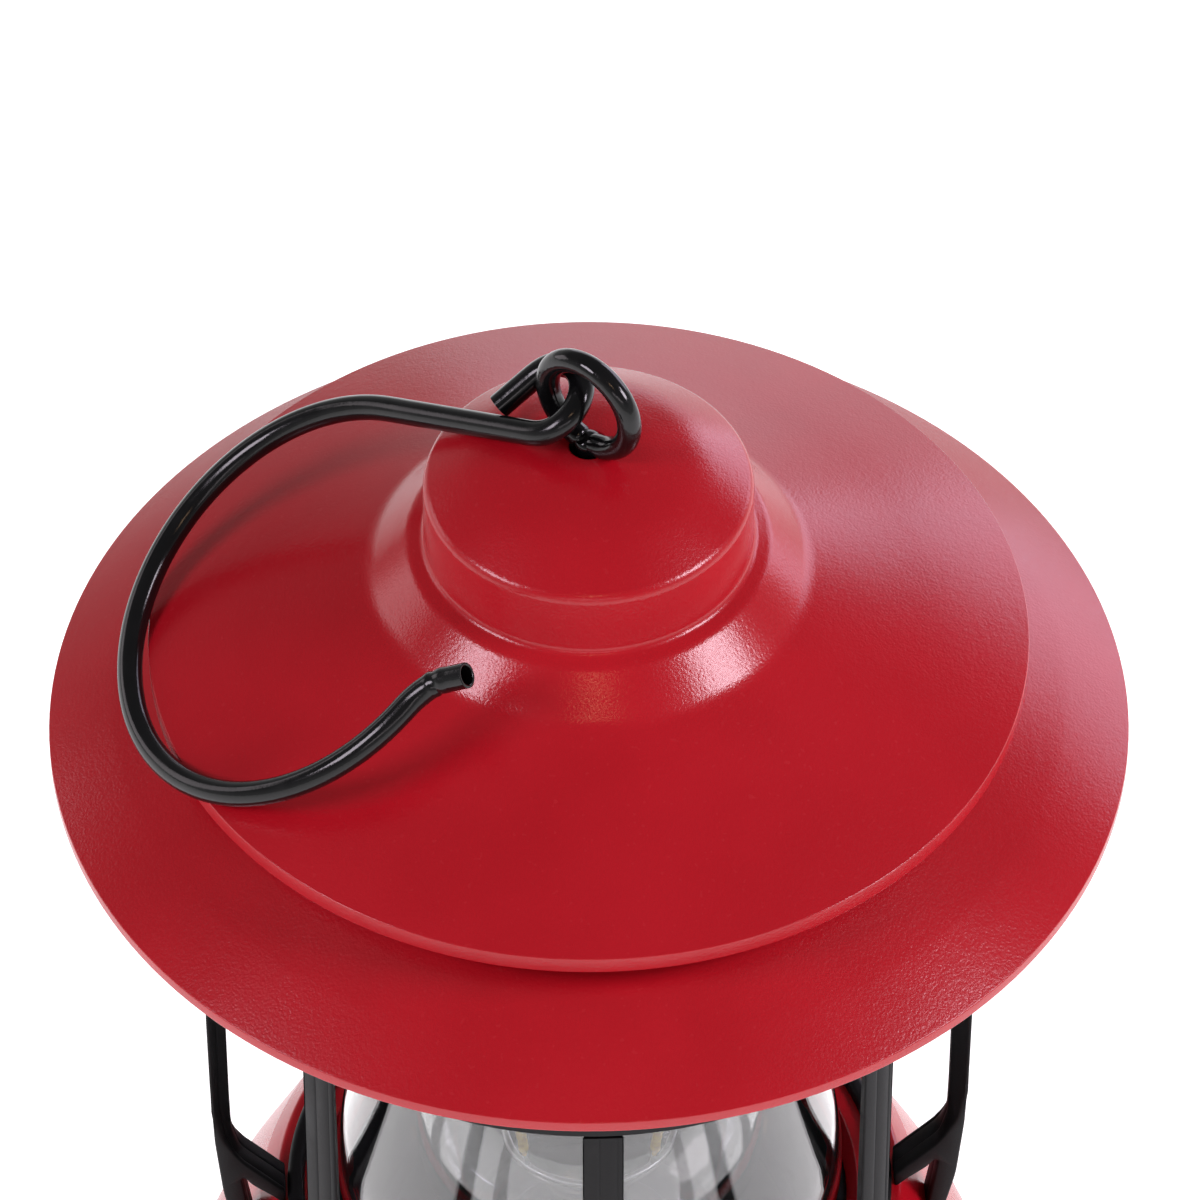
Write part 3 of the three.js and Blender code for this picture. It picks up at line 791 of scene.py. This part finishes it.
def light_strip(bm, angle):
    """A round strip under a lumpy phosphor coat, with a thinner bare tab at each end."""
    low, high = polar(16.8, angle, 122), polar(19.6, angle, 142)
    path, radii = [], []
    for k in range(41):
        t = k / 40
        path.append(low.lerp(high, t) * MM)
        swell = 0.9 if min(t, 1 - t) > 0.06 else 0.42
        radii.append((swell + 0.05 * math.sin(k * 1.9)) * MM)
    tube(bm, path, radii, 14)


for i, angle in enumerate(STRIP_ANGLES):
    strip_name = f"phosphor_strip_{i + 1}"
    piece(strip_name, lambda bm: light_strip(bm, angle), f"light_strip_{i + 1}")


def wires_joined(bm, paths, radius):
    """Thin round wires along paths in millimetres."""
    for path in paths:
        points, radii = domed([p * MM for p in path], radius * MM)
        tube(bm, points, radii, 10)


def crown(bm):
    """Lead wires from the strips' tops to a small hub on the axis."""
    route = ((19.65, 142.3), (19.9, 143.8), (19.0, 144.6), (0.6, 145.9))
    paths = [[polar(r, angle, z) for r, z in route] for angle in STRIP_ANGLES]
    wires_joined(bm, paths, 0.45)
    hub = rounded([(0, 144.8, 0), (1.4, 144.8, 0.3), (1.4, 147, 0.3), (0, 147, 0)])
    spin(bm, hub, 24)


piece("strip_top_wires", crown, "strip_crown")


def lower_ring(bm):
    """A ring on the glass stem, with a lead wire up to each strip."""
    inner, outer, low, high = 15.5, 16.7, 117.6, 118.6
    section = [(inner, low, 0.3), (outer, low, 0.3), (outer, high, 0.3), (inner, high, 0.3)]
    spin(bm, rounded(section), 72)
    route = ((16.1, 118.2), (16.2, 119.8), (16.7, 121.6))
    paths = [[polar(r, angle, z) for r, z in route] for angle in STRIP_ANGLES]
    wires_joined(bm, paths, 0.42)


piece("strip_lower_wires", lower_ring, "strip_ring")


def screw_shell(bm):
    """Screw cap with a rolled thread, drawn as ridges, above a stepped centre contact."""
    line = [Vector((0, 61.4)), Vector((4.6, 61.4)), Vector((5.2, 62.2)), Vector((5.6, 63.2))]
    line += [Vector((11.2, 65.6)), Vector((12.2, 66.4))]
    rise, pitch, thread = 0.235, 2.82, 0.45
    for k in range(61):
        turns = k * rise / pitch
        line.append(Vector((12.72 + thread * math.sin(turns * 2 * math.pi), 66.8 + k * rise)))
    line += [Vector((12.9, 81.2)), Vector((12.5, 81.6)), Vector((0, 81.6))]
    spin(bm, line, 72, closed=False)


piece("bulb_screw_shell", screw_shell, "bulb_cap", NICKEL)
turned(
    "bulb_holder_cup",
    [
        (0, 59.2, 0),
        (20, 59.2, 1.2),
        (20, 70, 0.5),
        (19.2, 71, 0.5),
        (19.2, 80, 1.0),
        (14.6, 80, 0.8),
        (13.9, 66, 0.5),
        (6.4, 61, 0.5),
        (0, 61, 0),
    ],
    "lamp_holder",
    72,
)


# ---------------------------------------------------------------- base

BASE_R, SHOULDER_Z, BASE_SHEET = 81.0, 98.2, 1.1
shell_inside = [
    (49.4, SHOULDER_Z - 3.4, 0),
    (51.2, SHOULDER_Z, 1.6),
    (58.2, SHOULDER_Z, 2.6),
    (61.4, 93.8, 6),
    (72.8, 70.3, 90),
    (79.8, 50.5, 60),
    (BASE_R, 32, 40),
    (BASE_R, 7.6, 2),
    (BASE_R + 0.8, 6.0, 1),
    (BASE_R + 0.8, 3.0, 0),
]
turned("base_shell_pressing", sheet_profile(shell_inside, BASE_SHEET), "base_shell", 176)
turned(
    "rubber_foot_ring",
    [
        (64, 0, 1.0),
        (77, 0, 1.0),
        (78, 4, 0.4),
        (72.6, 4, 0.3),
        (72.6, 3.1, 0.3),
        (68.4, 3.1, 0.3),
        (68.4, 4, 0.3),
        (63, 4, 0.4),
        (63, 1, 0.6),
    ],
    "foot_ring",
    144,
)


# The floor pan has a turned-up rim and a bead round the cover.
turned(
    "floor_pan_moulding",
    [
        (36.3, 4.3, 0.3),
        (37.6, 4.3, 0.3),
        (38.0, 3.7, 0.3),
        (40.2, 3.7, 0.3),
        (40.6, 4.3, 0.3),
        (79.6, 4.3, 0.5),
        (79.6, 10.3, 0.4),
        (77.6, 10.3, 0.4),
        (77.6, 6.5, 0.4),
        (36.3, 6.5, 0.3),
    ],
    "floor_pan",
    144,
)

SCREW_TOP, SCREW_LENGTH, SCREW_HEAD_R, SCREW_HEAD = 4.0, 13.0, 3.2, 2.0
SCREW_R, THREAD_DEPTH, THREAD_STEP = 1.34, 0.14, 0.25
SCREW_DIMPLE, SCREWS_AT = 0.7, 58


def pan_screw(bm, angle):
    """Pan-head screw, head down, with a dimple to drive it by and ridges for its thread."""
    low = SCREW_TOP - SCREW_HEAD
    line = [Vector((0, low)), Vector((SCREW_HEAD_R * 0.62, low))]
    for k in range(1, 7):
        a = k / 6 * math.pi / 2
        radius = SCREW_HEAD_R * (0.62 + 0.38 * math.sin(a))
        line.append(Vector((radius, low + 1.3 * (1 - math.cos(a)))))
    line += [Vector((SCREW_HEAD_R, SCREW_TOP - 0.1)), Vector((1.5, SCREW_TOP))]
    for k in range(round(SCREW_LENGTH / THREAD_STEP)):
        radius = SCREW_R + THREAD_DEPTH * math.cos(k * math.pi / 2)
        line.append(Vector((radius, SCREW_TOP + 0.6 + k * THREAD_STEP)))
    line.append(Vector((0, SCREW_TOP + SCREW_LENGTH + 0.8)))
    spin(bm, line, 28, closed=False)
    bm.verts.ensure_lookup_table()
    bm.verts[0].co.z += SCREW_DIMPLE * MM
    bmesh.ops.translate(bm, vec=polar(SCREWS_AT, angle, 0) * MM, verts=bm.verts)


for i, angle in enumerate((60, 180, 300)):
    screw_name = f"pan_fixing_{i + 1}"
    piece(screw_name, lambda bm: pan_screw(bm, angle), f"pan_screw_{i + 1}", crease=50)

SCOOP_AT, SCOOP_R, SCOOP_DEPTH, COVER_FACE = 15, 11.4, 1.25, 3.5


def cover(bm):
    """Battery cover: dished disc with two finger scoops, a bar between and a coin-edge rim."""
    steps = 144
    rim = [(35.92, 6.5), (35.92, 3.5), (35.5, 3.1), (34.2, 3.1), (33.6, 3.5), (32.4, 3.5)]
    face = [(31.0 - 0.9 * k, COVER_FACE) for k in range(35)]
    rings = []
    for radius, height in rim + face:
        ring = []
        for k in range(steps):
            a = 2 * math.pi * k / steps
            x, y, z = radius * math.cos(a), radius * math.sin(a), height
            for side in (-1, 1):
                d = math.hypot(x, y - side * SCOOP_AT) / SCOOP_R
                if d < 1:
                    z += SCOOP_DEPTH * (1 - d**6)
            ring.append(bm.verts.new((x * MM, y * MM, z * MM)))
        rings.append(ring)
    skin(bm, rings)
    bm.faces.new(rings[-1])
    bm.faces.new(reversed(rings[0]))


piece("battery_cover_disc", cover, "battery_cover", crease=30)


KNOB_Z, KNOB_GAP = 30.0, 0.7
FLUTES, FLUTE_DEPTH = 24, 0.42


def knob(bm):
    """Dimmer knob: fluted grip, domed face and a raised pointer."""
    steps = 144
    profile = [
        (3.3, 8.4, 0),
        (3.3, 0.3, 0),
        (3.6, 0, 0),
        (8.6, 0, 0),
        (9.0, 0.4, 0),
        (9.0, 1.6, 0),
        (8.85, 2.0, 1),
        (8.75, 7.8, 1),
        (8.5, 8.5, 0),
        (8.0, 9.2, 0),
        (7.3, 9.6, 0),
        (6.4, 9.72, 0),
        (3.0, 9.78, 0),
    ]
    rings = []
    for radius, height, fluted in profile:
        ring = []
        for k in range(steps):
            a = 2 * math.pi * k / steps
            r = radius - fluted * FLUTE_DEPTH * max(0.0, math.sin(a * FLUTES))
            ring.append(bm.verts.new((r * MM * math.cos(a), r * MM * math.sin(a), height * MM)))
        rings.append(ring)
    skin(bm, rings)
    bm.faces.new(rings[-1])
    bm.faces.new(reversed(rings[0]))
    ridge = [
        (-0.6, 0.6, 9.5),
        (0.6, 0.6, 9.5),
        (0.6, 7.0, 9.5),
        (-0.6, 7.0, 9.5),
        (-0.35, 1.0, 10.6),
        (0.35, 1.0, 10.6),
        (0.35, 6.6, 10.5),
        (-0.35, 6.6, 10.5),
    ]
    v = [bm.verts.new(Vector(p) * MM) for p in ridge]
    sides = ((0, 1, 5, 4), (1, 2, 6, 5), (2, 3, 7, 6), (3, 0, 4, 7))
    for face in ((3, 2, 1, 0), (4, 5, 6, 7), *sides):
        bm.faces.new([v[i] for i in face])
    lay = Matrix.Rotation(math.pi / 2, 4, "X")
    place = Matrix.Translation(Vector((0, -(BASE_R + KNOB_GAP), KNOB_Z)) * MM)
    bmesh.ops.transform(bm, matrix=place @ lay, verts=bm.verts)


piece("dimmer_grip", knob, "dimmer_knob", crease=40)


# ---------------------------------------------------------------- camera, light and floor

PITCH = math.radians(46.171)
LENS, DISTANCE = 253.4, 1.502
LOOK_AT = Vector((1.97, 14.66, 241.89)) * MM
AIM = Vector((0, 0, 240)) * MM
PAPER_GLOW, PAPER_HALF = 1.05, 6


def set_camera():
    data = bpy.data.cameras.new("studio_camera")
    data.lens, data.sensor_width = LENS, 36
    data.clip_end = 20
    camera = bpy.data.objects.new("studio_camera", data)
    bpy.context.scene.collection.objects.link(camera)
    camera.location = LOOK_AT - Vector((0, math.cos(PITCH), -math.sin(PITCH))) * DISTANCE
    camera.rotation_euler = (math.pi / 2 - PITCH, 0, 0)
    bpy.context.scene.camera = camera


def softbox(name, azimuth, elevation, away, size, radiance, colour):
    """A softbox seen from the roof at this bearing, as bright as `radiance` all over."""
    a, e = math.radians(azimuth), math.radians(elevation)
    way = Vector((math.cos(a) * math.cos(e), math.sin(a) * math.cos(e), math.sin(e)))
    data = bpy.data.lights.new(name, "AREA")
    data.shape = "RECTANGLE"
    data.size, data.size_y = size
    data.energy, data.color = radiance * math.pi * size[0] * size[1], colour
    lamp = bpy.data.objects.new(name, data)
    bpy.context.scene.collection.objects.link(lamp)
    lamp.location = AIM + way * away
    lamp.rotation_euler = (-way).to_track_quat("-Z", "Y").to_euler()


def floor():
    """Pale paper that glows, as it does where the studio's light floods it."""
    mesh = bpy.data.meshes.new("studio_floor")
    bm = bmesh.new()
    bmesh.ops.create_grid(bm, x_segments=2, y_segments=2, size=PAPER_HALF)
    bm.to_mesh(mesh)
    bm.free()
    sheet = bpy.data.objects.new("studio_floor", mesh)
    bpy.context.scene.collection.objects.link(sheet)
    paper = Finish("white_paper", Specular_IOR_Level=0.1, Emission_Strength=PAPER_GLOW)
    grain = paper.noise(3.0, 2.0)
    paper.set(Base_Color=paper.between(grain, (0.55, 0.55, 0.55), (0.6, 0.6, 0.6)))
    paper.set(Roughness=0.85 + grain * 0.1, Emission_Color=(1.0, 1.0, 1.0))
    mesh.materials.append(paper.material)


def dusk_world(zenith, horizon):
    """A studio that is dark overhead and pale round the horizon."""
    world = bpy.data.worlds.new("studio_room")
    bpy.context.scene.world = world
    world.use_nodes = True
    tree = world.node_tree
    coords = tree.nodes.new("ShaderNodeTexCoord")
    split = tree.nodes.new("ShaderNodeSeparateXYZ")
    shade = tree.nodes.new("ShaderNodeMapRange")
    shade.interpolation_type = "SMOOTHSTEP"
    run = {"From Min": 0.02, "From Max": 0.5, "To Min": horizon, "To Max": zenith}
    for socket, value in run.items():
        shade.inputs[socket].default_value = value
    tree.links.new(coords.outputs["Generated"], split.inputs[0])
    tree.links.new(split.outputs["Z"], shade.inputs["Value"])
    background = tree.nodes["Background"]
    background.inputs["Color"].default_value = (1, 1, 1, 1)
    tree.links.new(shade.outputs[0], background.inputs["Strength"])


def studio_light():
    dusk_world(0.14, 0.46)
    cool = (0.98, 0.88, 1.0)
    softbox("right_box", -17.8, 34, 1.2, (0.44, 0.36), 17.0, cool)
    softbox("left_box", -152.7, 36, 1.2, (0.42, 0.32), 12.5, cool)
    softbox("right_wall", 47, 13, 1.5, (0.90, 0.60), 3.3, (0.86, 0.78, 1.0))
    softbox("left_wall", 160, 14, 1.5, (0.70, 0.50), 1.8, (1.0, 0.90, 0.95))
    softbox("back_wall", 80, 7, 1.5, (1.0, 0.45), 1.2, (0.90, 0.84, 1.0))
    softbox("warm_lamp", -86, 48, 1.2, (0.20, 0.10), 6.0, (1.0, 0.62, 0.36))
    softbox("front_strip", -88, 20, 1.4, (0.9, 0.14), 2.4, (1.0, 0.90, 0.94))


bpy.context.scene.view_settings.view_transform = "Standard"
set_camera()
studio_light()
floor()
